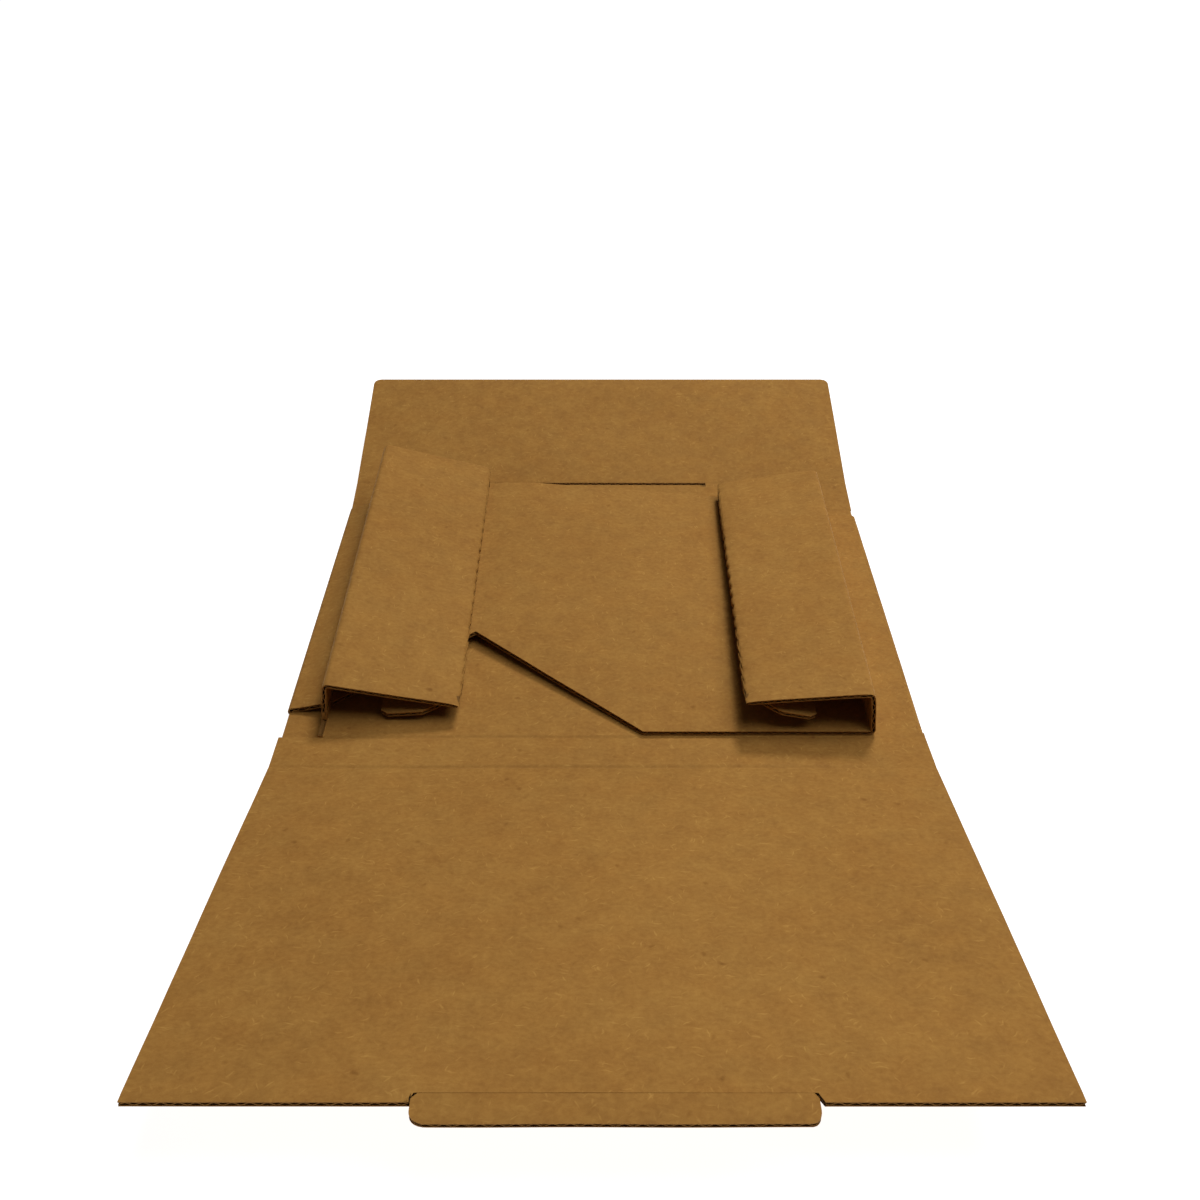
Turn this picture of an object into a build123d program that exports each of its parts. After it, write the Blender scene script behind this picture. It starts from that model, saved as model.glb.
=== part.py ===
from build123d import *
import os
from math import copysign, pi, sin

# One die-cut blank of fine corrugated card, folded and pressed nearly flat as it is shipped.
# Three panels lie on each other: the base, the lower wing folded over it from the right and
# the upper wing folded over both from the left. The front strip and front panel hang on the
# lower wing, the back strip and back panel on the base.
# Millimetres and degrees. X runs across the blank, Y from the tuck flap at the front to the
# back panel, Z up. The origin is the middle of the base panel's underside.

# The board and how it folds
board = 1.5                 # thickness of the corrugated board
layer_gap = 0.2             # air left between two panels that lie on each other
pressed_radius = 0.1        # inside a fold that is pressed flat
soft_radius = 0.35          # inside a fold of about a right angle

# Base, and the panels that stand off it to the front and the back
base_width = 190.4          # over the folds at its two sides
base_depth = 126.0
base_inset = 0.6            # its cut edges, where no wing folds over, lie this much further in
front_width = 190.0
front_strip_depth = 13.3
front_strip_rise = 3.5      # slope, rising away from the lower wing
front_panel_depth = 117.7
front_panel_rise = 10.9
back_width = 190.0
back_strip_depth = 15.5
back_strip_rise = 10.0
back_panel_depth = 60.0
back_panel_rise = 15.6
back_corner_radius = 3.0

# The tuck flap on the front panel, and the slot that takes it
tuck_width = 79.7
tuck_length = 6.4
tuck_droop = 8.0            # below the front panel's slope
tuck_offset = 2.8           # its middle stands right of the blank's middle
tuck_inset = 2.2            # its crease lies this far inside the front panel's edge
tuck_left_radius = 3.2
tuck_right_radius = 2.3
relief_width = 0.7          # cut at each end of the tuck flap's crease
slot_clearance = 2.3        # the slot is this much longer than the tuck flap is wide
slot_width = 1.2
slot_offset = -0.5

# Lower wing: folded in from the right, carries the front strip and, on a neck, the left wall
lower_reach = -83.5         # X of the left wall's outer face at its foot
lower_front = -64.8         # Y of the crease between it and the front strip
lower_back = 56.5           # Y of its back edge
neck_depth = 6.0            # what still joins the left wall to the wing
wall_clearance = 2.8        # left wall's cut edge above the fold line, clear of the upper wing

# Upper wing: folded in from the left over the lower one, carries the right side wall
upper_front = -64.1         # Y of its front edge
upper_length = 126.7
upper_reach = 80.4          # X of the right wall's outer face at its foot
upper_skew = 1.5            # the foot stands this much further right at its back end
spring_height = 8.2         # how far its back edge springs up, at the highest place
spring_peak = -41.0         # X of that place
spring_power = 1.3          # how softly it springs up from its two ends
step_end = 11.0             # from its fold, it has climbed onto the lower wing by here
notch_left_x = -82.5        # V-shaped notch in its front edge
notch_left_y = -52.0
notch_tip_x = -40.5
notch_tip_y = -20.0
notch_right_x = 12.0

# Side walls, top flaps and inner flaps. Angles are those of a cross-section seen from the front.
wall_height = 12.3          # straight part between the foot fold and the outer fold
right_wall_lean = 7.3       # inwards
right_flap_width = 34.6     # straight part between the outer fold and the inner fold
right_flap_slope_front = 4.7
right_flap_slope_back = 9.0
right_inner_width = 20.6
right_inner_slope = 12.0
left_front = -57.7
left_length = 126.7
left_wall_lean = 8.0
left_flap_width = 37.6
left_flap_slope_front = 12.0
left_flap_slope_back = 14.5
left_inner_width = 22.5
left_inner_slope = 4.0
left_rise = 9.0             # the left side stands this much higher at its back end
left_skew = 1.0             # and this much further right

half = board / 2
tight_bend = half + pressed_radius   # fold radii at the middle of the board
soft_bend = half + soft_radius
step = board + layer_gap
base_middle = half
lower_middle = base_middle + step
upper_middle = lower_middle + step
side_bend = step / 2        # both wings fold over with this radius
base_front = -base_depth / 2
back_crease = base_depth / 2
slot_length = tuck_width + slot_clearance
fold_tangent = base_width / 2 - side_bend - half   # X where both side folds begin


def board_section(start, heading, steps):
    """Face of a folded strip of board, followed along its middle line from start.

    A step is a straight run in mm, or a fold (angle, radius): a positive angle turns left.
    Returns the face and the point and heading that the middle line ends at.
    """
    middle = Vector(*start)
    edges = []

    def sides():
        left = Vector(0, 1, 0).rotate(Axis.Z, heading) * half
        return middle + left, middle - left

    edges.append(Line(*sides()))
    for item in steps:
        along = Vector(1, 0, 0).rotate(Axis.Z, heading)
        if isinstance(item, tuple):
            turn, radius = item
            for corner, side in zip(sides(), (1, -1)):
                edges.append(JernArc(corner, along, radius - side * copysign(half, turn), turn))
            middle = JernArc(middle, along, radius, turn) @ 1
            heading += turn
        else:
            for corner in sides():
                edges.append(Line(corner, corner + along * item))
            middle += along * item
    edges.append(Line(*sides()))
    return make_face(edges).face(), middle, heading


def across(face, y_front, y_back):
    """A cross-section in X and Z, carried from y_front to y_back."""
    place = Plane(origin=(0, y_back, 0), x_dir=(1, 0, 0), z_dir=(0, -1, 0))
    return extrude(place * face, amount=y_back - y_front)


def along(face, width):
    """A side section in Y and Z, carried across the given width."""
    return extrude(Plane.YZ.offset(-width / 2) * face, amount=width)


def ruled(front_face, y_front, back_face, y_back):
    """Straight-ruled solid between two matching cross-sections."""
    places = [Plane(origin=(0, y, 0), x_dir=(1, 0, 0), z_dir=(0, -1, 0)) for y in (y_front, y_back)]
    return loft([places[0] * front_face, places[1] * back_face], ruled=True)


def upright_cutter(points):
    """Tall prism on a plan outline, for cutting edges and notches."""
    return extrude(Plane.XY.offset(-board) * make_face(Polyline(*points, close=True)), amount=60)


def upper_fold(share):
    """X where the upper wing starts to bend up into the right wall; share is 0 at its front."""
    return upper_reach - half - soft_bend + upper_skew * share


def spring_lift(x, share):
    """Height of the upper wing's middle line at x; share is 0 at its front and 1 at its back."""
    climb = min((x + fold_tangent) / step_end, 1)
    climb = climb * climb * (3 - 2 * climb)
    end = -fold_tangent if x < spring_peak else upper_fold(share)
    hump = sin(pi / 2 * max((x - end) / (spring_peak - end), 0)) ** spring_power
    return lower_middle + step * climb + spring_height * share * hump


def upper_section(share):
    """Cross-section of the upper wing between its fold and the right wall."""
    spans = 8
    foot = -fold_tangent + step_end
    stations = [-fold_tangent, -fold_tangent + step_end / 2, foot]
    stations += [foot + (upper_fold(share) - foot) * (index + 1) / spans for index in range(spans)]
    edges = []
    for side in (half, -half):
        edges.append(Spline([(x, spring_lift(x, share) + side) for x in stations]))
    edges += [Line(edges[0] @ end, edges[1] @ end) for end in (0, 1)]
    return make_face(edges).face()


def base_and_side_folds():
    """Base panel with the fold into the lower wing at its right and the upper wing at its left."""
    flat, _, _ = board_section((-fold_tangent, base_middle), 0, [2 * fold_tangent])
    margin = base_width / 2 - base_inset - fold_tangent
    left_margin, _, _ = board_section((1 - fold_tangent, base_middle), 180, [1 + margin])
    right_margin, _, _ = board_section((fold_tangent - 1, base_middle), 0, [1 + margin])
    right_fold, _, _ = board_section((fold_tangent - 1, base_middle), 0, [1, (180, side_bend)])
    left_fold, _, _ = board_section((1 - fold_tangent, base_middle), 180, [1, (-180, side_bend)])
    body = across(flat, base_front, back_crease)
    body += across(right_fold, base_front, lower_back)
    body += across(right_margin, lower_back, back_crease)
    body += across(left_fold, notch_left_y, back_crease)
    body += across(left_margin, base_front, notch_left_y)
    return body


def lower_wing():
    """Flat panel on the base, from the right fold to the left wall's foot."""
    flat, _, _ = board_section((lower_reach, lower_middle), 0, [fold_tangent - lower_reach])
    return across(flat, lower_front, lower_back)


def upper_wing():
    """Sprung panel over the lower wing, with the notch in its front edge."""
    upper_back = upper_front + upper_length
    panel = ruled(upper_section(0), upper_front, upper_section(1), upper_back)
    notch = [
        (-base_width, upper_front - 1), (-base_width, notch_left_y), (notch_left_x, notch_left_y),
        (notch_tip_x, notch_tip_y), (notch_right_x, upper_front), (notch_right_x, upper_front - 1),
    ]
    return panel - upright_cutter(notch)


def right_side():
    """Right wall, its top flap and the inner flap, all standing on the upper wing."""
    faces = []
    for share, slope in enumerate((right_flap_slope_front, right_flap_slope_back)):
        faces.append(board_section(
            (upper_fold(share), upper_middle), 0,
            [(90 + right_wall_lean, soft_bend), wall_height,
             (90 + slope - right_wall_lean, soft_bend), right_flap_width,
             (180 - slope - right_inner_slope, tight_bend), right_inner_width])[0])
    return ruled(faces[0], upper_front, faces[1], upper_front + upper_length)


def left_side():
    """Left wall, its top flap and the inner flap, higher at the back."""
    faces = []
    ends = zip((0, left_skew), (0, left_rise), (left_flap_slope_front, left_flap_slope_back))
    for skew, rise, slope in ends:
        faces.append(board_section(
            (lower_reach + half + skew, lower_middle + wall_clearance + rise), 90 - left_wall_lean,
            [wall_height + soft_bend - wall_clearance,
             (left_wall_lean - slope - 90, soft_bend), left_flap_width,
             (slope + left_inner_slope - 180, tight_bend), left_inner_width])[0])
    return ruled(faces[0], left_front, faces[1], left_front + left_length)


def left_neck():
    """The bend up from the lower wing's left edge and the neck that carries the left wall."""
    foot = lower_reach + half + soft_bend
    turn = (-90 - left_wall_lean, soft_bend)
    start = (foot + neck_depth, lower_middle)
    root, _, _ = board_section(start, 180, [neck_depth, turn])
    neck, _, _ = board_section(start, 180, [neck_depth, turn, wall_clearance])
    return across(root, lower_front, left_front) + across(neck, left_front, left_front + neck_depth)


def short_edges(face):
    """The two edges of an end face that run through the board's thickness."""
    return face.edges().filter_by(lambda edge: edge.length < 2 * board)


def front_panels():
    """Front strip and front panel, with the tuck flap between two relief cuts."""
    rise = [
        board, (-front_strip_rise, soft_bend), front_strip_depth,
        (front_strip_rise - front_panel_rise, soft_bend),
    ]
    start = (lower_front + board, lower_middle)
    to_crease = front_panel_depth - tuck_inset
    panel, crease, heading = board_section(start, 180, rise + [to_crease])
    margin, _, _ = board_section(crease, heading, [tuck_inset])
    flap, _, _ = board_section(crease, heading, [(tuck_droop, soft_bend), tuck_length])
    tuck = Pos(X=tuck_offset) * along(flap, tuck_width)
    tip = short_edges(tuck.faces().sort_by(Axis.Y)[0]).sort_by(Axis.X)
    tuck = fillet(tip[0], tuck_left_radius)
    tip = short_edges(tuck.faces().sort_by(Axis.Y)[0]).sort_by(Axis.X)
    tuck = fillet(tip[-1], tuck_right_radius)
    body = along(panel, front_width) + tuck
    reach = tuck_width / 2 + relief_width
    for side in (-1, 1):
        inner = tuck_offset + side * reach
        outer = side * front_width / 2
        body += Pos(X=(inner + outer) / 2) * along(margin, abs(outer - inner))
    return body


def back_panels():
    """Back strip and back panel, with the slot for the tuck flap along the crease between them."""
    steps = [
        board, (back_strip_rise, soft_bend), back_strip_depth,
        (back_panel_rise - back_strip_rise, soft_bend),
    ]
    start = (back_crease - board, base_middle)
    section, _, _ = board_section(start, 0, steps + [back_panel_depth])
    body = along(section, back_width)
    body = fillet(short_edges(body.faces().sort_by(Axis.Y)[-1]), back_corner_radius)
    _, crease, heading = board_section(start, 0, steps)
    cut = Box(slot_length, slot_width, 4 * board)
    hook = Pos(slot_length / 2 - slot_width / 2, -slot_width) * Box(slot_width, 2 * slot_width, 4 * board)
    place = Plane(origin=(slot_offset, crease.X, crease.Y), x_dir=(1, 0, 0),
                  z_dir=Vector(0, 0, 1).rotate(Axis.X, back_panel_rise))
    return body - place * (cut + hook)


def blank():
    """The folded blank in four solids that meet face to face where the board runs on."""
    left = left_side()
    flat = base_and_side_folds() + lower_wing() + (left_neck() - left)
    flat += front_panels()
    flat += back_panels()
    wing = upper_wing() - flat - left
    return {"box_blank": flat, "upper_wing": wing, "right_side": right_side(), "left_side": left}


os.makedirs("parts", exist_ok=True)
for name, solid in blank().items():
    export_step(solid, f"parts/{name}.step")
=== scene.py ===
import math
import bpy
import numpy as np
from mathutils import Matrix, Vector


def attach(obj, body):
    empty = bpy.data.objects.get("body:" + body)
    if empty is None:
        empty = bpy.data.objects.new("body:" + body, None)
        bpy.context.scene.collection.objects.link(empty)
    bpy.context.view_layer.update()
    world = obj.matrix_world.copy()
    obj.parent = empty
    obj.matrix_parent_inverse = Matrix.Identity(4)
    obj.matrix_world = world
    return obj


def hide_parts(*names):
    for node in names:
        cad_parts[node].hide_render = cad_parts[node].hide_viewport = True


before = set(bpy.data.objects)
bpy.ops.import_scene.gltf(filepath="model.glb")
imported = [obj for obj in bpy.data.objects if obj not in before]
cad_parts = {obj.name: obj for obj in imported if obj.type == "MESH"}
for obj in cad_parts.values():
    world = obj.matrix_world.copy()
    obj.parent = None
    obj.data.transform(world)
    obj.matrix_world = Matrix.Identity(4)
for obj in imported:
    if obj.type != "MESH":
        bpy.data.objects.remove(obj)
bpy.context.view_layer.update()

# Lengths below are millimetres and angles degrees, as in the CAD source; the meshes are
# written in metres. X runs across the blank, Y from the tuck flap to the back panel, Z up.
MM = 0.001

# The board: two liners on a wavy medium, whose flutes run along Y
BOARD, GAP = 1.5, 0.2                       # thickness, and the air between two layers
HALF, STEP = BOARD / 2, BOARD + GAP
LINER, MEDIUM, PITCH = 0.27, 0.2, 3.5
FLUTE_DEPTH = 4.0                           # how far in from a cut edge the flutes are modelled
TIGHT, SOFT = 0.85, 1.1                     # fold radii at the board's middle

# Base, front panels, back panels: widths, depths and slopes
BASE_WIDTH, BASE_DEPTH, BASE_INSET = 190.4, 126.0, 0.6
FRONT_WIDTH, FRONT_STRIP, FRONT_STRIP_RISE = 190.0, 13.3, 3.5
FRONT_PANEL, FRONT_PANEL_RISE = 117.7, 10.9
BACK_WIDTH, BACK_STRIP, BACK_STRIP_RISE = 190.0, 15.5, 10.0
BACK_PANEL, BACK_PANEL_RISE, BACK_CORNER = 60.0, 15.6, 3.0

# Tuck flap, and the slot that takes it
TUCK_LENGTH, TUCK_DROOP, TUCK_INSET = 6.4, 8.0, 2.2
TUCK_CREASE = (-36.5, 42.0)                 # X of the ends of its crease
TUCK_SIDES = (-37.7, 42.8)                  # X where it is widest
TUCK_SPREAD = 2.2                           # it reaches that width this far past its crease
TUCK_CORNERS = ((-1, 3.4, 2.6), (1, 2.0, 2.7))   # side, and the rounding in X and in Y
RELIEF, RELIEF_LEAN = 0.7, 1.1              # cuts beside the crease, slanting outwards
SLOT = (-41.5, 40.5)
SLOT_EDGES = (-1.1, 0.3)                    # in front of and behind the back panel's crease

# Wings: the lower one lies flat, the upper one climbs onto it and springs up at its back
LOWER_REACH, LOWER_FRONT, LOWER_BACK = -83.5, -64.8, 56.5
NECK_DEPTH, WALL_CLEARANCE = 6.0, 2.8
UPPER_FRONT, UPPER_LENGTH, UPPER_REACH, UPPER_SKEW = -64.1, 126.7, 80.4, 1.5
SPRING, SPRING_PEAK, SPRING_POWER, CLIMB = 8.2, -41.0, 1.3, 11.0
NOTCH = [(-120.0, -52.0), (-82.5, -52.0), (-40.5, -20.0), (12.0, -64.1), (120.0, -64.1)]

# Side walls, top flaps and inner flaps; a pair of slopes is that of the front and back ends
WALL = 12.3
RIGHT_LEAN, RIGHT_FLAP, RIGHT_SLOPES = 7.3, 34.6, (4.7, 9.0)
RIGHT_INNER, RIGHT_INNER_SLOPE = 20.6, 12.0
LEFT_FRONT, LEFT_LENGTH, LEFT_LEAN, LEFT_FLAP = -57.7, 126.7, 8.0, 37.6
LEFT_SLOPES, LEFT_INNER, LEFT_INNER_SLOPE = (12.0, 14.5), 22.5, 4.0
LEFT_RISE, LEFT_SKEW = 9.0, 1.0             # its back end stands higher and further right
INNER_SET_BACK, INNER_TAPER = 6.5, 10.0     # an inner flap's ends run back to its fold
INNER_CORNER = 1.6                          # rounding of its free corners
PERFORATION = 5.6                           # pitch of the cuts along the inner folds
CROWN, CROWN_AT, CROWN_WIDTH = 1.0, 68.0, 14.0   # of the upper wing's back edge, by the slot

LOWER_MID, UPPER_MID = HALF + STEP, HALF + 2 * STEP
FOLD_X = BASE_WIDTH / 2 - STEP / 2 - HALF   # X where both side folds begin
FOOT_X = LOWER_REACH + HALF + SOFT          # X where the lower wing bends up into the left wall

# Slight sideways drift of the panels, as X over Y
FRONT_SHIFT = ([-200, -190, -76, -65], [-0.15, -0.15, 0.15, 0.0])
BACK_SHIFT = ([63, 78, 140], [0.0, -0.05, -0.15])

# Meshes: grid spacing, extra points close to the ends, and the thinning of board at cut ends
GRID = 3.0
CLOSE = (0.15, 0.5, 1.1, 1.9)
THINNED, THINNED_WIDTH = 0.12, 0.7

# Kinds of surface, as places in a piece's list of materials
FACE, CUT = 0, 1
LAYER = 40                                  # keeps the two liners' kraft patterns apart
FLUTE_SPACING = 0.42                        # of the points along the medium's wave
FLUTE_SET_BACK = 0.1                        # of the medium behind the liners' ends
# Painted shade of the recessed wall, the liners' insides, the medium and the flutes' ends, which sit in
# shadow: how much darker each is drawn, from 0 to 1
WALL_SHADE, INSIDE_SHADE, MEDIUM_SHADE, END_SHADE = 0.55, 0.6, 0.5, 1.0
# Section of a cut edge along the flutes: share of the thickness, and depth
WALL_PROFILE = ((0, 0), (0.17, 0.03), (0.22, 0.22), (0.5, 0.3), (0.78, 0.22), (0.83, 0.03), (1, 0))


# ---------------------------------------------------------------- sections
def trace(start, heading, steps, spacing=2.4, arc_points=8):
    """Middle line of a folded strip: points, left-hand normals and how far along each point is."""
    x, z = start
    points, normals = [(x, z)], []
    a = math.radians(heading)
    normals.append((-math.sin(a), math.cos(a)))
    marks = [0]
    for step in steps:
        if isinstance(step, tuple):
            turn, radius = math.radians(step[0]), step[1]
            side = math.copysign(1, turn)
            cx, cz = x - math.sin(a) * radius * side, z + math.cos(a) * radius * side
            for k in range(1, arc_points + 1):
                b = a + turn * k / arc_points
                points.append((cx + math.sin(b) * radius * side, cz - math.cos(b) * radius * side))
                normals.append((-math.sin(b), math.cos(b)))
            a += turn
            x, z = points[-1]
        else:
            count = max(1, round(step / spacing))
            for k in range(1, count + 1):
                d = step * k / count
                points.append((x + math.cos(a) * d, z + math.sin(a) * d))
                normals.append((-math.sin(a), math.cos(a)))
            x, z = points[-1]
        marks.append(len(points) - 1)
    return np.array(points), np.array(normals), marks


def lengths(points):
    """How far along the line each point is."""
    return np.concatenate([[0], np.cumsum(np.linalg.norm(np.diff(points, axis=0), axis=1))])


class Ruled:
    """Board surface ruled in Y between a front and a back cross-section (X, Z)."""

    def __init__(self, front, back, y_front, y_back, start=0.0):
        self.p, self.n = (front[0], back[0]), (front[1], back[1])
        self.y = (y_front, y_back)
        self.s = lengths(front[0]) + start

    def __call__(self, u, v):
        share = (v - self.y[0]) / (self.y[1] - self.y[0])
        both = []
        for p, n in zip(self.p, self.n):
            both.append([np.interp(u, self.s, c) for c in (p[:, 0], p[:, 1], n[:, 0], n[:, 1])])
        x, z, nx, nz = [f * (1 - share) + b * share for f, b in zip(*both)]
        size = np.hypot(nx, nz)
        point = np.stack([x, v, z], -1)
        return point, np.stack([nx / size, np.zeros_like(v), nz / size], -1)


class Rolled:
    """Board surface with one side section (Y, Z) for every X."""

    def __init__(self, section, start, shift=None):
        self.p, self.n = section[0], section[1]
        self.s = lengths(self.p) + start
        self.shift = shift

    def __call__(self, u, v):
        y, z, ny, nz = [np.interp(v, self.s, c) for c in (*self.p.T, *self.n.T)]
        size = np.hypot(ny, nz)
        x = u + (np.interp(y, *self.shift) if self.shift else 0)
        return np.stack([x, y, z], -1), np.stack([np.zeros_like(v), ny / size, nz / size], -1)


# ---------------------------------------------------------------- meshes
class Build:
    """Collects quads for one piece, each point with its place on the flat board and its painted shade."""

    def __init__(self):
        self.verts, self.flat, self.tint, self.quads, self.kinds = [], [], [], [], []
        self.count = 0

    def add(self, points, flat, tint, quads, kind):
        points, flat = points.reshape(-1, 3), flat.reshape(-1, 3)
        self.verts.append(points)
        self.flat.append(flat)
        self.tint.append(np.broadcast_to(np.ravel(tint), len(points)).astype(float))
        self.quads.append(quads + self.count)
        self.kinds.append(np.full(len(quads), kind))
        self.count += len(points)

    def strip(self, rows, flats, tint, kind):
        """Quads between two or more rows of matching points (rows, n, 3)."""
        rows, flats = np.asarray(rows), np.asarray(flats)
        m, n = rows.shape[:2]
        base = (np.arange(m - 1)[:, None] * n + np.arange(n - 1)).reshape(-1)
        quads = np.stack([base, base + 1, base + n + 1, base + n], -1)
        self.add(rows, flats, tint, quads, kind)


def edge_runs(inside, outside):
    """Slices of grid points along which the mask ends."""
    run = np.flatnonzero(inside & ~outside)
    parts = np.split(run, np.flatnonzero(np.diff(run) > 1) + 1)
    return [slice(part[0], part[-1] + 2) for part in parts if len(part)]


def board(build, surface, U, V, mask=None, tint=None, tag=0.0, lift=None, dent=None, plain=False):
    """Corrugated board over a grid (u, v); cells outside the mask are left out.

    Both liners are smooth sheets. Edges across the flutes show the liners and the wavy medium,
    or are closed by the liner where plain. Edges along the flutes get a recessed wall. The tag
    sets this board's place in the kraft pattern. lift moves the middle, and dent thins the board
    from above and from below.
    """
    n, m = U.shape
    mask = np.ones((n - 1, m - 1), bool) if mask is None else mask
    point, normal = surface(U, V)
    if lift is not None:
        point = point + normal * lift(U, V)[..., None]
    above, below = np.zeros((2, *U.shape)) if dent is None else dent(U, V)
    shade = np.zeros(U.shape) if tint is None else tint(U, V)
    faces = {1: point + normal * (HALF - above)[..., None],
             -1: point - normal * (HALF - below)[..., None]}
    cells = np.argwhere(mask)
    a = cells[:, 0] * m + cells[:, 1]
    for side in (1, -1):
        quads = np.stack([a, a + m, a + m + 1, a + 1], -1)
        if side < 0:
            quads = quads[:, ::-1]
        flat = np.stack([U, V, np.full(U.shape, tag + LAYER * side)], -1)
        build.add(faces[side], flat, shade, quads, FACE)

    padded = np.zeros((n + 1, m + 1), bool)
    padded[1:-1, 1:-1] = mask
    for inward in (1, -1):
        for j in range(m):
            for line in edge_runs(*(padded[1:-1, j + 1], padded[1:-1, j])[::inward]):
                edge = U[line, j], V[line, j], faces[1][line, j], faces[-1][line, j]
                if plain:
                    plain_end(build, *edge, inward, tag)
                else:
                    flute_ends(build, surface, *edge, lift, inward, tag)
    for inward in (1, -1):
        for i in range(n):
            for line in edge_runs(*(padded[i + 1, 1:-1], padded[i, 1:-1])[::inward]):
                k = min(max(i + inward, 0), n - 1)
                inside = faces[1][k, line] + faces[-1][k, line]
                recessed_wall(build, U[i, line], V[i, line], faces[1][i, line], faces[-1][i, line],
                              inside, inward, tag)


def recessed_wall(build, u, v, top, bottom, inside, inward, tag):
    """Cut edge along the flutes: both liners' ends, and a wall sunk in between them, darkened with painted
    shade.
    """
    into = inside - top - bottom
    into /= np.linalg.norm(into, axis=1)[:, None] + 1e-9
    rows, flats = [], []
    for w, depth in WALL_PROFILE:
        rows.append(top * (1 - w) + bottom * w + into * depth)
        flats.append(np.stack([u + w * 2, v, np.full(len(top), tag)], -1))
    if inward > 0:
        rows, flats = rows[::-1], flats[::-1]
    build.strip(rows, flats, WALL_SHADE, CUT)


def plain_end(build, u, v, top, bottom, inward, tag):
    """Edge across the flutes that is closed by the liner."""
    rows = [top, bottom]
    flats = [np.stack([u, v + w, np.full(len(u), tag)], -1) for w in (0, BOARD)]
    if inward > 0:
        rows, flats = rows[::-1], flats[::-1]
    build.strip(rows, flats, 0.0, FACE)


def flute_ends(build, surface, u, v, top, bottom, lift, inward, tag):
    """Cut edge across the flutes: liner ends, liner insides, the medium's wave and an end wall, with
    painted shade darkening all but the liner ends.
    """
    deep = v + inward * FLUTE_DEPTH
    q, qn = surface(u, deep)
    if lift is not None:
        q = q + qn * lift(u, deep)[:, None]
    deep_top, deep_bottom = q + qn * HALF, q - qn * HALF
    where, fine = np.arange(len(u)), [0.0]
    for k in range(len(u) - 1):
        count = max(1, math.ceil(abs(u[k + 1] - u[k]) / FLUTE_SPACING))
        fine += [k + (c + 1) / count for c in range(count)]
    fine = np.array(fine)

    def at(values):
        return np.stack([np.interp(fine, where, values[:, c]) for c in range(3)], -1)

    def level(w):
        """Rows at the edge and deep inside, w of the way from the top to the bottom."""
        w = np.broadcast_to(w, len(fine))[:, None]
        return top + (bottom - top) * w, deep_top + (deep_bottom - deep_top) * w

    top, bottom, deep_top, deep_bottom = at(top), at(bottom), at(deep_top), at(deep_bottom)
    uu, vv = np.interp(fine, where, u), np.interp(fine, where, v)
    flat = np.stack([uu, vv, np.full(len(uu), tag + 7.0)], -1)
    deep_flat = flat + [0, inward * FLUTE_DEPTH, 0]

    def put(rows, flats, tint):
        if inward < 0:
            rows, flats = rows[::-1], flats[::-1]
        build.strip(rows, flats, tint, CUT)

    skin = LINER / BOARD
    inner, inner_deep = level(skin)
    under, under_deep = level(1 - skin)
    put([inner, top], [flat, flat], 0.0)
    put([inner_deep, inner], [deep_flat, flat], INSIDE_SHADE)
    put([under_deep, inner_deep], [deep_flat, deep_flat], END_SHADE)
    put([under, under_deep], [flat, deep_flat], INSIDE_SHADE)
    put([bottom, under], [flat, flat], 0.0)
    # The medium, a little behind the liners' ends
    room = HALF - LINER - MEDIUM / 2
    wave = 2 * math.pi * uu / PITCH
    middle = room * np.sin(wave)
    thick = MEDIUM / 2 * np.sqrt(1 + (room * 2 * math.pi / PITCH * np.cos(wave)) ** 2)
    upper = np.clip(middle + thick, LINER - HALF, HALF - LINER)
    lower = np.clip(middle - thick, LINER - HALF, HALF - LINER)
    upper, upper_deep = level(0.5 - upper / BOARD)
    lower, lower_deep = level(0.5 - lower / BOARD)
    back = FLUTE_SET_BACK / FLUTE_DEPTH
    upper, lower = upper + (upper_deep - upper) * back, lower + (lower_deep - lower) * back
    put([lower, upper], [flat, flat], 0.1)
    put([upper, upper_deep], [flat, deep_flat], MEDIUM_SHADE)
    put([lower_deep, lower], [deep_flat, flat], MEDIUM_SHADE)


def piece(name, build, materials, *nodes):
    """A Blender object from the collected quads, riding on the body and standing for CAD nodes."""
    mesh = bpy.data.meshes.new(name)
    verts = np.concatenate(build.verts) * MM
    quads = np.concatenate(build.quads)
    mesh.from_pydata(verts.tolist(), [], quads.tolist())
    mesh.polygons.foreach_set("material_index", np.concatenate(build.kinds).astype(np.int32))
    mesh.polygons.foreach_set("use_smooth", np.ones(len(quads), bool))
    flat = mesh.attributes.new("flat", "FLOAT_VECTOR", "POINT")
    flat.data.foreach_set("vector", np.concatenate(build.flat).astype(np.float32).ravel())
    tint = mesh.attributes.new("tint", "FLOAT", "POINT")
    tint.data.foreach_set("value", np.concatenate(build.tint).astype(np.float32))
    mesh.update()
    for material in materials:
        mesh.materials.append(material)
    obj = bpy.data.objects.new(name, mesh)
    bpy.context.scene.collection.objects.link(obj)
    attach(obj, "root")
    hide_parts(*nodes)
    return obj


# ---------------------------------------------------------------- small shape helpers
def bump(d, width):
    """1 at d = 0, falling off over the width."""
    return np.exp(-(d / width) ** 2)


def stations(lo, hi, spacing, extra=(), ends=True):
    """Evenly spaced values with some exact ones added and closer ones at both ends."""
    count = max(2, round((hi - lo) / spacing) + 1)
    values = list(np.linspace(lo, hi, count)) + list(extra)
    if ends:
        values += [lo + d for d in CLOSE] + [hi - d for d in CLOSE]
    values = sorted(v for v in values if lo <= v <= hi)
    exact = [lo, hi, *extra]
    kept = []
    for v in values:
        if kept and v - kept[-1] < 0.08:
            if any(abs(v - e) < 1e-9 for e in exact):
                kept[-1] = v
            continue
        kept.append(v)
    return np.array(kept)


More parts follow.
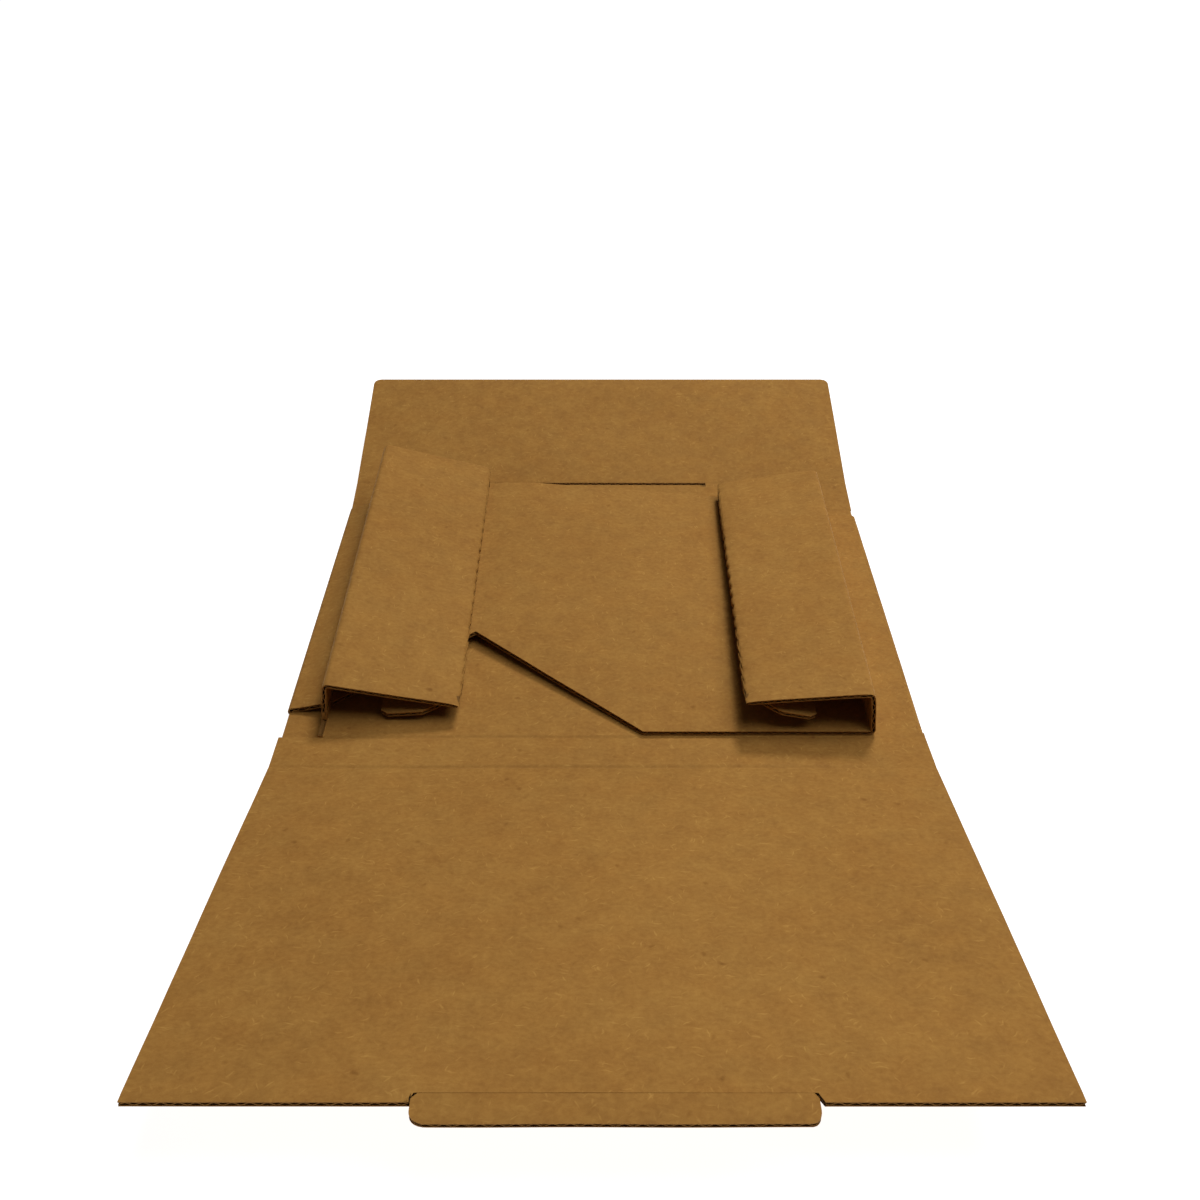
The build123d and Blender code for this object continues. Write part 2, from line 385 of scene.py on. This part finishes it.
def ripple(seed, size, length):
    """Gentle seeded unevenness, size in mm, over about the given length."""
    rng = np.random.default_rng(seed)
    waves = [(rng.uniform(0.4, 1.3) / length, rng.uniform(0, 2 * math.pi), rng.uniform(0, 2 * math.pi))
             for _ in range(6)]

    def value(x, y):
        total = 0
        for k, angle, phase in waves:
            total = total + np.sin(2 * math.pi * k * (x * math.cos(angle) + y * math.sin(angle)) + phase)
        return size * total / 3
    return value


# ---------------------------------------------------------------- panels creased along X
def forwards(profile):
    """Side section (Y, Z) of panels traced backwards, turned to run to the front."""
    return [(values * [-1, 1])[::-1] for values in profile[:2]]


def middles(values):
    """Places halfway between neighbours."""
    return (values[:-1] + values[1:]) / 2


def crease_rows(start, end, creases, exact):
    """Rows across the creases: close together near them, exact where an edge needs one."""
    rows = list(np.arange(start, end, GRID))
    for place, _ in creases:
        rows += list(place + np.linspace(-3.2, 3.2, 17))
    exact = [start, end, *exact]
    rows = [r for r in rows if start < r < end and all(abs(r - e) > 0.12 for e in exact)] + exact
    rows = np.array(sorted(rows))
    return rows[np.concatenate([[True], np.diff(rows) > 0.04])]


def creased(creases, ends, weight=lambda u: 1.0):
    """Dents and painted shade lines along pressed creases, and the thinner board at cut ends.

    A crease is (place, depth), and weight fades the creases along X.
    """
    def offset(u, v, place):
        return v - place - 0.12 * np.sin(u / 11 + place)

    def dent(u, v):
        top = 0
        for place, depth in creases:
            d = offset(u, v, place)
            top = top + depth * bump(d, 0.5) - 0.3 * depth * bump(np.abs(d) - 1.2, 0.5)
        edge = sum(THINNED * bump(v - end, THINNED_WIDTH) for end in ends)
        return top * weight(u) + edge, edge + 0 * u

    # Painted shade: a dark line along each crease, where its dent would be in shadow
    def shade(u, v):
        return sum(0.7 * depth * weight(u) * bump(offset(u, v, place), 0.45) for place, depth in creases)
    return dent, shade


def front_panels(build):
    """Front panel, front strip and lower wing, which are one run of board."""
    profile = trace((-LOWER_FRONT, LOWER_MID), 0,
                    [(FRONT_STRIP_RISE, SOFT), FRONT_STRIP, (FRONT_PANEL_RISE - FRONT_STRIP_RISE, SOFT),
                     FRONT_PANEL])
    points, normals = forwards(profile)
    points = np.concatenate([points, [[LOWER_BACK, LOWER_MID]]])
    normals = np.concatenate([normals, [[0.0, 1.0]]])
    along = lengths(profile[0])
    start = LOWER_FRONT - along[-1]
    surface = Rolled((points, normals), start, FRONT_SHIFT)
    fold = LOWER_FRONT - along[profile[2][2]] - 0.07
    creases = [(LOWER_FRONT - 0.1, 0.2), (fold, 0.26)]
    tuck_crease = start + TUCK_INSET
    neck_end = LEFT_FRONT + NECK_DEPTH
    rows = crease_rows(start, LOWER_BACK, creases, [tuck_crease, LOWER_FRONT, -BASE_DEPTH / 2, neck_end])
    edge = FRONT_WIDTH / 2
    relief = (TUCK_CREASE[0] - RELIEF, TUCK_CREASE[1] + RELIEF)
    cols = stations(-edge, edge, GRID, (*relief, LOWER_REACH, FOOT_X, FOLD_X))
    U, V = np.meshgrid(cols, rows, indexing="ij")
    lean = np.clip((tuck_crease - V) / TUCK_INSET, 0, 1) * RELIEF_LEAN
    U = U + lean * (np.abs(U - relief[1]) < 0.05) - lean * (np.abs(U - relief[0]) < 0.05)
    cu, cv = middles(cols)[:, None], middles(rows)[None, :]
    mask = ~((cv < tuck_crease) & (cu > relief[0]) & (cu < relief[1]))
    mask &= ~((cv > -BASE_DEPTH / 2) & ((cu < LOWER_REACH) | (cu > FOLD_X)))
    mask &= ~((cv > LOWER_FRONT) & (cv < neck_end) & (cu < FOOT_X))
    uneven, small = ripple(3, 0.22, 90), ripple(4, 0.05, 20)

    def lift(u, v):
        away = np.clip((LOWER_FRONT - 4 - v) / 25, 0, 1)
        return (uneven(u, v) + small(u, v)) * away * np.clip((v - start) / 20, 0.25, 1)

    def weight(u):
        """Clear in the middle, faint at both sides and fading more slowly to the right."""
        return 0.15 + 0.85 * np.clip((u + 88) / 12, 0, 1) * np.clip((88 - u) / 60, 0, 1)

    dent, shade = creased(creases, (start,), weight)
    board(build, surface, U, V, mask, lift=lift, dent=dent, tint=shade)
    return points, surface, tuck_crease


def back_panels():
    """Base, back strip and back panel, with the slot for the tuck flap along their crease."""
    build = Build()
    profile = trace((BASE_DEPTH / 2, HALF), 0,
                    [(BACK_STRIP_RISE, SOFT), BACK_STRIP,
                     (BACK_PANEL_RISE - BACK_STRIP_RISE, SOFT), BACK_PANEL])
    points = np.concatenate([[[-BASE_DEPTH / 2, HALF]], profile[0]])
    normals = np.concatenate([[[0.0, 1.0]], profile[1]])
    along = lengths(profile[0])
    end = BASE_DEPTH / 2 + along[-1]
    surface = Rolled((points, normals), -BASE_DEPTH / 2, BACK_SHIFT)
    fold = BASE_DEPTH / 2 + along[profile[2][2]] + 0.05
    creases = [(BASE_DEPTH / 2, 0.06), (fold, 0.08)]
    slot = [fold + place for place in SLOT_EDGES]
    hook_length, hook_width = 0.4, 1.2
    rows = crease_rows(-BASE_DEPTH / 2, end, creases,
                       [BASE_DEPTH / 2, NOTCH[0][1], LOWER_BACK, *slot, slot[0] - hook_length,
                        end - 0.3, end - 0.8, end - 1.6, end - 2.4])
    edge = BACK_WIDTH / 2
    margin = BASE_WIDTH / 2 - BASE_INSET
    cols = stations(-edge, edge, GRID, (*SLOT, SLOT[1] - hook_width, -FOLD_X, FOLD_X, -margin, margin))
    U, V = np.meshgrid(cols, rows, indexing="ij")
    inside = np.clip(np.abs(U) - (edge - BACK_CORNER), 0, BACK_CORNER)
    cut = BACK_CORNER - np.sqrt(np.clip(BACK_CORNER ** 2 - inside ** 2, 0, None))
    V = V - cut * np.clip((V - (end - 7)) / 7, 0, 1)
    cu, cv = middles(cols)[:, None], middles(rows)[None, :]
    mask = ~((cv > slot[0]) & (cv < slot[1]) & (cu > SLOT[0]) & (cu < SLOT[1]))
    mask &= ~((cv < BASE_DEPTH / 2) & (np.abs(cu) > margin))
    mask &= ~((cv > NOTCH[0][1]) & (cv < BASE_DEPTH / 2) & (cu < -FOLD_X))
    mask &= ~((cv < LOWER_BACK) & (cu > FOLD_X))
    uneven, small = ripple(5, 0.22, 90), ripple(6, 0.05, 20)

    def lift(u, v):
        away = np.clip((v - BASE_DEPTH / 2 - 4) / 25, 0, 1)
        return (uneven(u, v) + small(u, v)) * away * np.clip((end - v) / 15, 0, 1)

    dent, shade = creased(creases, (end,))

    def hooked(u, v):
        """Painted shade of the creases, and painted shade standing in for the slot's small hook at its
        right end, which is not cut out.
        """
        hook = (np.abs(u - SLOT[1] + 0.55) < 0.7) * bump(v - slot[0] + hook_length, 0.5)
        return np.maximum(shade(u, v), 0.95 * hook)

    board(build, surface, U, V, mask, lift=lift, dent=dent, tint=hooked, tag=50.0)
    return build


def tuck_flap(build, points, surface, tuck_crease):
    """Flap on the front panel, widest past its crease, with rounded free corners."""
    crease_y, crease_z = [float(np.interp(tuck_crease, surface.s, c)) for c in points.T]
    flap = forwards(trace((-crease_y, crease_z), FRONT_PANEL_RISE,
                          [(-TUCK_DROOP, SOFT), TUCK_LENGTH], spacing=0.8))
    flap_length = lengths(flap[0])[-1]
    flap_surface = Rolled(flap, 0, FRONT_SHIFT)
    cols = stations(TUCK_CREASE[0], TUCK_CREASE[1], 2.5)
    near = np.array([0, 0.06, 0.25, 0.6, 1.1, 1.8, 2.7, 3.6])
    inside = [c for c in cols if TUCK_CREASE[0] + 3.9 < c < TUCK_CREASE[1] - 3.9]
    cols = np.array(sorted(inside + list(TUCK_CREASE[0] + near) + list(TUCK_CREASE[1] - near)))
    rows = np.array([0, 0.03, 0.08, 0.15, 0.25, 0.4, 0.55, 0.7, 0.8, 0.86, 0.9, 0.94, 0.97, 1.0])
    rows = flap_length * rows
    U, V = np.meshgrid(cols, rows, indexing="ij")
    spread = np.clip((flap_length - V) / TUCK_SPREAD, 0, 1)
    spread = np.sin(spread * math.pi / 2)
    middle = sum(TUCK_CREASE) / 2
    scale = (U - middle) / (TUCK_CREASE[1] - middle)
    U = U + spread * np.where(scale < 0, (TUCK_SIDES[0] - TUCK_CREASE[0]) * scale ** 4,
                              (TUCK_SIDES[1] - TUCK_CREASE[1]) * scale ** 4)
    corner = np.zeros_like(U)
    for side, rx, ry in TUCK_CORNERS:
        edge = TUCK_SIDES[0] if side < 0 else TUCK_SIDES[1]
        d = np.clip(side * (U - (edge - side * rx)), 0, rx) / rx
        corner = np.maximum(corner, ry * (1 - np.sqrt(np.clip(1 - d ** 2, 0, 1))))
    V = V + corner * (1 - V / flap_length)
    flap_ripple = ripple(8, 0.08, 30)

    def flap_dent(u, v):
        d = flap_length - v
        edge = THINNED * bump(v, THINNED_WIDTH)
        return 0.08 * bump(d - 0.05, 0.35) + edge, edge

    # Painted shade darkens the flap's dented free edge
    board(build, flap_surface, U, V, dent=flap_dent, tag=3.0,
          lift=lambda u, v: flap_ripple(u, v) * np.clip((flap_length - v) / 3, 0, 1),
          tint=lambda u, v: 0.10 * bump(flap_length - v, 0.3))


def front_piece():
    """Front panels with the tuck flap, and the lower wing with its fold and neck."""
    build = Build()
    panels = front_panels(build)
    lower_wing_sides(build)
    tuck_flap(build, *panels)
    return build


# ---------------------------------------------------------------- lower wing and left side
def serrations(seed):
    """Depth of the perforated fold's cuts along Y, from 0 at a bridge to 1 in a cut."""
    rng = np.random.default_rng(seed)
    jitter = rng.uniform(-0.5, 0.5, 60)
    deep = rng.uniform(0.6, 1.1, 60)

    def value(y):
        along = (y + 80) / PERFORATION
        k = np.floor(along).astype(int) % len(deep)
        t = along - np.floor(along) + jitter[k] * 0.1
        return deep[k] * np.clip((0.27 - np.abs(t - 0.5)) / 0.09, 0, 1)
    return value


def side_board(build, front, back, y_front, y_back, folds, start, seed, lo=None, hi=None,
               outside=1, rise=None):
    """Board ruled from a front to a back section, with an outer fold and a perforated inner fold.

    folds are the marks where the two folds begin and end. lo and hi are each column's cut ends in
    Y. outside is the side of the middle line that the top flap shows.
    """
    surface = Ruled(front, back, y_front, y_back, start)
    cols = surface.s
    t = np.unique(np.concatenate([np.linspace(0, 1, 136), [0.003, 0.008, 0.992, 0.997]]))
    lows = np.full(len(cols), y_front) if lo is None else lo
    highs = np.full(len(cols), y_back) if hi is None else hi
    set_back = INNER_SET_BACK * np.clip(1 - (cols - cols[folds[3]]) / INNER_TAPER, 0, 1)
    set_back = set_back * (cols > cols[folds[2]] + 0.9)
    corner = np.clip((cols - cols[-1] + INNER_CORNER) / INNER_CORNER, 0, 1)
    corner = INNER_CORNER * (1 - np.sqrt(1 - corner ** 2))
    lows, highs = lows + np.maximum(set_back, corner), highs - np.maximum(set_back, corner)
    U = np.repeat(cols[:, None], len(t), 1)
    V = lows[:, None] + (highs - lows)[:, None] * t[None, :]
    cuts = serrations(seed)
    outer = (cols[folds[0]] + cols[folds[1]]) / 2
    inner = (cols[folds[2]] + cols[folds[3]]) / 2
    small = ripple(seed + 20, 0.07, 25)
    big = ripple(seed + 30, 0.16, 80)

    def lift(u, v):
        away = 1 - bump(u - inner, 2.5) - bump(u - outer, 2.5)
        height = (small(u, v) + big(u, v)) * np.clip(away, 0, 1) * (u > outer - 8)
        if rise is not None:
            height = height + rise(u, v)
        return height * outside

    def dent(u, v):
        edge = 0.1 * (bump(v - y_front, THINNED_WIDTH) + bump(v - y_back, THINNED_WIDTH))
        seen = 0.75 * cuts(v) * bump(u - inner, 0.9) + edge + 0.10 * bump(u - outer, 1.4)
        pressed = 0.3 * bump(u - inner, 2.2)
        seen, hidden = seen * (1 - pressed) + pressed, edge + pressed
        return (seen, hidden) if outside > 0 else (hidden, seen)

    # Painted shade in the perforation cuts and along the pressed inner fold
    def shade(u, v):
        return 0.45 * cuts(v) * bump(u - inner, 0.7) + 0.08 * bump(u - inner, 1.6)

    board(build, surface, U, V, lift=lift, dent=dent, tint=shade, tag=start)


def lower_wing_sides(build):
    """Fold at the lower wing's right edge and the neck at its left edge."""
    fold = trace((FOLD_X, HALF), 0, [(180, STEP / 2)], arc_points=12)
    surface = Ruled(fold, fold, -BASE_DEPTH / 2, LOWER_BACK)
    rows = stations(-BASE_DEPTH / 2, LOWER_BACK, GRID)
    U, V = np.meshgrid(surface.s, rows, indexing="ij")
    board(build, surface, U, V, tag=100.0, dent=lambda u, v: (0 * u, 0.03 * np.sin(v / 5) ** 2))
    turn = (-90 - LEFT_LEAN, SOFT)
    reach = (WALL_CLEARANCE, WALL_CLEARANCE + LEFT_RISE * NECK_DEPTH / LEFT_LENGTH)
    ends = [trace((FOOT_X, LOWER_MID), 180, [turn, size], spacing=size / 4) for size in reach]
    neck = Ruled(*ends, LEFT_FRONT, LEFT_FRONT + NECK_DEPTH)
    U, V = np.meshgrid(neck.s, stations(LEFT_FRONT, LEFT_FRONT + NECK_DEPTH, 1.0), indexing="ij")
    board(build, neck, U, V, tag=160.0, plain=True)
    root = trace((FOOT_X, LOWER_MID), 180, [turn])
    surface = Ruled(root, root, LOWER_FRONT, LEFT_FRONT)
    U, V = np.meshgrid(surface.s, stations(LOWER_FRONT, LEFT_FRONT, 1.2), indexing="ij")
    board(build, surface, U, V, tag=170.0, plain=True)


def left_side():
    """Left wall, top flap and inner flap."""
    build = Build()
    sections = []
    for skew, rise, slope in zip((0, LEFT_SKEW), (0, LEFT_RISE), LEFT_SLOPES):
        sections.append(trace(
            (LOWER_REACH + HALF + skew, LOWER_MID + WALL_CLEARANCE + rise), 90 - LEFT_LEAN,
            [WALL + SOFT - WALL_CLEARANCE, (LEFT_LEAN - slope - 90, SOFT), LEFT_FLAP,
             (slope + LEFT_INNER_SLOPE - 180, TIGHT), LEFT_INNER], spacing=2.0))
    side_board(build, *sections, LEFT_FRONT, LEFT_FRONT + LEFT_LENGTH, sections[0][2][1:5], 200.0, 11)
    return build


# ---------------------------------------------------------------- upper wing and right side
def upper_fold(share):
    """X where the upper wing bends up into the right wall; share is 0 at its front, 1 at its back."""
    return UPPER_REACH - HALF - SOFT + UPPER_SKEW * share


def spring_lift(x, share):
    """Height of the upper wing's middle line."""
    climb = np.clip((x + FOLD_X) / CLIMB, 0, 1)
    climb = climb * climb * (3 - 2 * climb)
    end = np.where(x < SPRING_PEAK, -FOLD_X, upper_fold(share))
    hump = np.sin(math.pi / 2 * np.clip((x - end) / (SPRING_PEAK - end), 0, None)) ** SPRING_POWER
    return LOWER_MID + STEP * climb + SPRING * share * hump


def upper_wing_and_right_side():
    """Fold from the base, the upper wing with its notch, the right wall and its two flaps."""
    build = Build()
    xs = stations(-FOLD_X, upper_fold(0), 2.2, [p[0] for p in NOTCH[1:4]], ends=False)
    xs = np.unique(np.concatenate([xs, -FOLD_X + np.arange(0, 12, 1.0)]))
    sections = []
    for share, slope in enumerate(RIGHT_SLOPES):
        fold = trace((-FOLD_X, HALF), 180, [(-180, STEP / 2)], arc_points=12)
        x = xs.copy()
        stretch = np.clip((x - NOTCH[3][0]) / (upper_fold(0) - NOTCH[3][0]), 0, 1)
        x = x + (upper_fold(share) - upper_fold(0)) * stretch
        z = spring_lift(x, share)
        z[-1] = UPPER_MID
        dz = np.gradient(z, x)
        dz[0] = dz[-1] = 0
        size = np.hypot(1, dz)
        wing = np.stack([x, z], -1), np.stack([-dz / size, 1 / size], -1)
        side = trace((upper_fold(share), UPPER_MID), 0,
                     [(90 + RIGHT_LEAN, SOFT), WALL, (90 + slope - RIGHT_LEAN, SOFT), RIGHT_FLAP,
                      (180 - slope - RIGHT_INNER_SLOPE, TIGHT), RIGHT_INNER], spacing=2.0)
        points = np.concatenate([fold[0][:-1], wing[0][:-1], side[0]])
        normals = np.concatenate([fold[1][:-1], wing[1][:-1], side[1]])
        sections.append((points, normals))
    offset = len(fold[0]) - 1 + len(xs) - 1
    marks = [offset + k for k in side[2]]
    front_x = sections[0][0][:, 0]
    lo = np.interp(front_x, [p[0] for p in NOTCH], [p[1] for p in NOTCH])
    lo[offset:] = UPPER_FRONT
    hi = np.full(len(front_x), UPPER_FRONT + UPPER_LENGTH)
    rise_ripple = ripple(41, 0.18, 60)
    start = 300.0
    fold_u = lengths(sections[0][0])[offset] + start

    def rise(u, v):
        """Unevenness of the wing, and the crown of its back edge in front of the slot."""
        wing = np.clip((fold_u - 6 - u) / 20, 0, 1) * np.clip((u - start - 25) / 25, 0, 1)
        crown = CROWN * bump(u - start - CROWN_AT, CROWN_WIDTH) * np.clip((v - 10) / 52, 0, 1) ** 2
        return -(np.abs(rise_ripple(u, v)) + crown) * wing

    side_board(build, *sections, UPPER_FRONT, UPPER_FRONT + UPPER_LENGTH, marks[2:6], start, 17,
               lo=lo, hi=hi, outside=-1, rise=rise)
    return build


# ---------------------------------------------------------------- materials
class Nodes:
    """Short way to add and link shader nodes."""

    def __init__(self, name):
        self.material = bpy.data.materials.new(name)
        self.material.use_nodes = True
        self.tree = self.material.node_tree
        self.tree.nodes.clear()

    def add(self, kind, settings=None, **inputs):
        node = self.tree.nodes.new("ShaderNode" + kind)
        for key, value in (settings or {}).items():
            setattr(node, key, value)
        for key, value in inputs.items():
            key = key.replace("_", " ")
            socket = node.inputs[int(key[1:])] if key[0] == "i" and key[1:].isdigit() else node.inputs[key]
            if isinstance(value, bpy.types.NodeSocket):
                self.tree.links.new(value, socket)
            else:
                socket.default_value = value
        return node

    def math(self, operation, a, b=0.0, clamp=False):
        return self.add("Math", {"operation": operation, "use_clamp": clamp}, i0=a, i1=b).outputs[0]

    def plus(self, a, b):
        return self.math("ADD", a, b)

    def times(self, a, b):
        return self.math("MULTIPLY", a, b)

    def vector_times(self, a, b):
        return self.add("VectorMath", {"operation": "MULTIPLY"}, i0=a, i1=b).outputs[0]

    def ramp(self, value, lo, hi):
        return self.add("MapRange", {"clamp": True}, Value=value, From_Min=lo, From_Max=hi).outputs[0]


# Fibres: angle, density, length, width, share of the cells that have one, and seed
LIGHT_FIBRES = ((8, 0.42, 2.6, 0.42, 0.30, 3.1), (-38, 0.42, 2.0, 0.40, 0.22, 11.7),
                (64, 0.40, 1.8, 0.40, 0.18, 23.9), (-78, 0.42, 1.7, 0.42, 0.14, 31.3))
DARK_FIBRES = ((15, 0.25, 1.1, 0.8, 0.07, 47.0), (-60, 0.25, 1.1, 0.7, 0.05, 59.0))


def kraft(name, base, cut=False):
    """Kraft paper with clouds, mottle, grain and fibres, laid on the flat board and darkened by the
    painted shade attribute.
    """
    n = Nodes(name)
    flat = n.add("Attribute", {"attribute_name": "flat"}).outputs["Vector"]
    tint = n.add("Attribute", {"attribute_name": "tint"}).outputs["Fac"]
    bend = n.add("TexNoise", Vector=flat, Scale=0.35, Detail=1.0).outputs["Color"]
    warp = n.add("VectorMath", {"operation": "MULTIPLY_ADD"}, i0=bend, i1=(1.6, 1.6, 0), i2=flat)
    warp = warp.outputs[0]

    def noise(scale, stretch=(1, 1, 1), detail=2.0, rough=0.5, source=flat):
        place = n.add("Mapping", Vector=source, Scale=tuple(scale * s for s in stretch)).outputs[0]
        return n.add("TexNoise", Vector=place, Scale=1.0, Detail=detail, Roughness=rough).outputs["Fac"]

    def signed(value, size):
        return n.times(n.math("SUBTRACT", value, 0.5), size)

    def fibres(angle, density, length, width, chance, seed):
        """Scattered fibre-shaped spots: 1 on a fibre, 0 elsewhere."""
        turned = n.add("Mapping", Vector=warp, Rotation=(0, 0, math.radians(angle)),
                       Location=(seed, seed * 2.3, 0)).outputs[0]
        place = n.add("Mapping", Vector=turned, Scale=(1 / length, 1 / width, 0)).outputs[0]
        cell = n.add("TexVoronoi", {"feature": "F1"}, Vector=place, Scale=density)
        near = n.ramp(cell.outputs["Distance"], 0.26, 0.08)
        keep = n.add("SeparateColor", Color=cell.outputs["Color"]).outputs[0]
        return n.times(near, n.ramp(keep, 1 - chance, 1 - chance + 0.05))

    def strewn(kinds):
        spots = [fibres(*kind) for kind in kinds]
        total = spots[0]
        for more in spots[1:]:
            total = n.math("MAXIMUM", total, more)
        return total

    clouds = signed(noise(0.022), 0.20)
    mottle = signed(noise(0.17, (1, 1, 1), 4.0, 0.62), 0.42)
    grain = signed(noise(0.75, (0.85, 1.1, 1), 3.0, 0.65, warp), 0.50)
    bright, dark = strewn(LIGHT_FIBRES), strewn(DARK_FIBRES)
    total = n.plus(n.plus(n.plus(clouds, mottle), grain), n.times(bright, 0.22))
    total = n.math("SUBTRACT", total, n.times(dark, 0.22))
    # Painted shade from the attribute darkens the kraft colour, more strongly on cut edges
    shade = n.math("SUBTRACT", 1.0, n.times(tint, 0.8 if cut else 0.62))
    factor = n.times(n.plus(total, 1.0), shade)
    grey = n.add("CombineXYZ", X=factor, Y=factor, Z=factor).outputs[0]
    # Lighter spots are paler in hue too, and a slow noise shifts the hue a little
    warm = n.plus(1.0, n.plus(signed(noise(0.09, (1, 1.3, 1)), 0.10), n.times(total, 0.30)))
    hue = n.add("CombineXYZ", X=1.0, Y=warm, Z=n.times(warm, warm)).outputs[0]
    colour = n.vector_times(n.vector_times(grey, hue), base)

    tooth = noise(3.2, (0.5, 1.0, 1), 3.0, 0.7, warp)
    pits = n.plus(n.plus(n.times(tooth, 0.6), n.times(grain, 2.0)), n.times(bright, 0.25))
    if not cut:
        across = n.add("SeparateXYZ", Vector=flat).outputs[0]
        flutes = n.math("SINE", n.times(across, 2 * math.pi / PITCH))
        pits = n.plus(pits, n.times(flutes, 0.10))
    relief = n.add("Bump", Strength=0.6 if cut else 0.35, Distance=0.00006, Height=pits).outputs[0]
    rough = n.math("ADD", 0.80, n.times(mottle, 0.6), clamp=True)
    shader = n.add("BsdfPrincipled", Base_Color=colour, Roughness=rough, Normal=relief,
                   Specular_IOR_Level=0.12)
    n.add("OutputMaterial", Surface=shader.outputs[0])
    return n.material


materials = [kraft("kraft_liner", (0.345, 0.166, 0.036)),
             kraft("kraft_cut_edge", (0.33, 0.155, 0.036), cut=True)]
piece("front_panels_lower_wing", front_piece(), materials, "box_blank")
piece("base_back_panels", back_panels(), materials, "box_blank")
piece("left_wall_and_flaps", left_side(), materials, "left_side")
piece("upper_wing_wall_and_flaps", upper_wing_and_right_side(), materials, "upper_wing", "right_side")

# ---------------------------------------------------------------- floor, light, camera
FLOOR_HALF, FLOOR_LEVEL = 6.0, -0.0003      # metres
CAMERA_PLACE, CAMERA_DOWN = (-0.55, -324.6, 244.8), 36.4   # mm, and degrees below level
LENS = SENSOR = 36.0

floor_mesh = bpy.data.meshes.new("floor")
corners = [(x * FLOOR_HALF, y * FLOOR_HALF, FLOOR_LEVEL) for x, y in ((-1, -1), (1, -1), (1, 1), (-1, 1))]
floor_mesh.from_pydata(corners, [], [(0, 1, 2, 3)])
floor = bpy.data.objects.new("floor", floor_mesh)
bpy.context.scene.collection.objects.link(floor)
# Partly lit by itself, so that it stays white where the lights fade
paper = Nodes("pale_floor")
shader = paper.add("BsdfPrincipled", Base_Color=(0.45, 0.45, 0.45, 1), Roughness=0.9,
                   Specular_IOR_Level=0.0, Emission_Color=(1, 1, 1, 1), Emission_Strength=0.95)
paper.add("OutputMaterial", Surface=shader.outputs[0])
floor_mesh.materials.append(paper.material)


def area(name, location, target, size, power):
    """Square softbox that faces the target; metres and watts."""
    light = bpy.data.lights.new(name, "AREA")
    light.shape = "SQUARE"
    light.size = size
    light.energy = power
    obj = bpy.data.objects.new(name, light)
    obj.location = location
    direction = Vector(target) - Vector(location)
    obj.rotation_euler = direction.to_track_quat("-Z", "Y").to_euler()
    bpy.context.scene.collection.objects.link(obj)


area("softbox_top", (0.25, -0.07, 0.68), (0.03, -0.05, 0), 0.55, 2.9)
area("softbox_back", (0.26, 0.66, 1.06), (0.0, -0.05, 0), 0.26, 7.6)

# The world is white where it is seen, and dim as a light
world = bpy.data.worlds.new("studio")
bpy.context.scene.world = world
world.use_nodes = True
sky = world.node_tree.nodes["Background"]
sky.inputs["Color"].default_value = (1, 1, 1, 1)
seen = world.node_tree.nodes.new("ShaderNodeLightPath")
strength = world.node_tree.nodes.new("ShaderNodeMapRange")
strength.inputs["To Min"].default_value, strength.inputs["To Max"].default_value = 0.05, 1.0
world.node_tree.links.new(seen.outputs["Is Camera Ray"], strength.inputs["Value"])
world.node_tree.links.new(strength.outputs[0], sky.inputs["Strength"])

camera_data = bpy.data.cameras.new("camera")
camera_data.lens, camera_data.sensor_width = LENS, SENSOR
camera_data.clip_start, camera_data.clip_end = 0.01, 50
camera = bpy.data.objects.new("camera", camera_data)
camera.location = [v * MM for v in CAMERA_PLACE]
camera.rotation_euler = (math.radians(90 - CAMERA_DOWN), 0, 0)
bpy.context.scene.collection.objects.link(camera)
bpy.context.scene.camera = camera
bpy.context.scene.view_settings.view_transform = "Standard"
bpy.context.scene.view_settings.look = "None"
